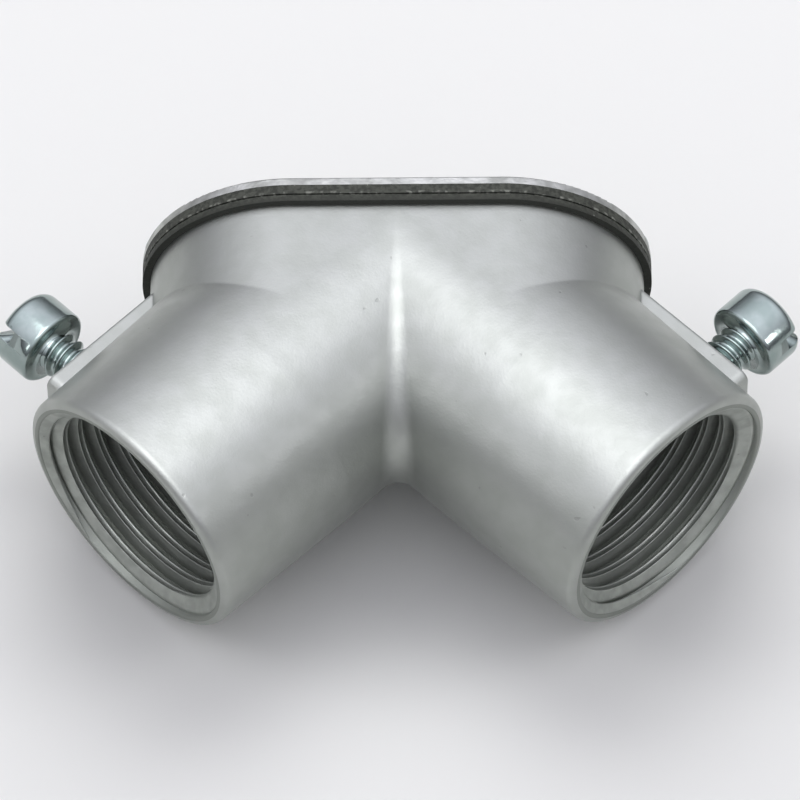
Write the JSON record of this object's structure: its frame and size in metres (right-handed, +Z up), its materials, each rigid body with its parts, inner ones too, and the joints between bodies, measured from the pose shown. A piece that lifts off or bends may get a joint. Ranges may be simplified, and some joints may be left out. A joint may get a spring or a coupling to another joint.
{
  "type": "conduit pulling elbow",
  "caption": "Right-angle conduit pulling elbow with threaded hubs, a set screw on each hub and a gasketed cover over the pull chamber.",
  "frame": {"origin": "on the surface it lies on, under the middle of the box that holds the whole elbow", "axes": "+Z up, square to the level plane of both hub axes; +Y the way the cover faces; +X from the left hub to the right one. The mouths face -X -Y and +X -Y."},
  "size_m": [0.071, 0.0372, 0.0268],
  "materials": {
    "cast_body": "satin die casting",
    "cover_metal": "satin",
    "gasket_rubber": "matt speckled",
    "plated_screw": "bright zinc plate"
  },
  "bodies": {
    "casting": {"elbow_body": "cast_body"},
    "cover": {"cover_plate": "cover_metal", "cover_gasket": "gasket_rubber"},
    "left_cover_screw": {"cover_screw_left": "plated_screw"},
    "right_cover_screw": {"cover_screw_right": "plated_screw"},
    "left_set_screw": {"set_screw_left": "plated_screw"},
    "right_set_screw": {"set_screw_right": "plated_screw"}
  },
  "joints": [
    {"name": "cover_lift", "type": "slide", "parent": "casting", "child": "cover", "axis": [0, 1, 0], "range_m": [0, 0.015]},
    {"name": "left_cover_screw_travel", "type": "slide", "parent": "cover", "child": "left_cover_screw", "axis": [0, 1, 0], "range_m": [0, 0.0075]},
    {"name": "right_cover_screw_travel", "type": "slide", "parent": "cover", "child": "right_cover_screw", "axis": [0, 1, 0], "range_m": [0, 0.0075]},
    {"name": "left_set_screw_travel", "type": "slide", "parent": "casting", "child": "left_set_screw", "axis": [0.7071, -0.7071, 0], "range_m": [-0.0028, 0.0034]},
    {"name": "right_set_screw_travel", "type": "slide", "parent": "casting", "child": "right_set_screw", "axis": [-0.7071, -0.7071, 0], "range_m": [-0.0028, 0.0034]}
  ]
}
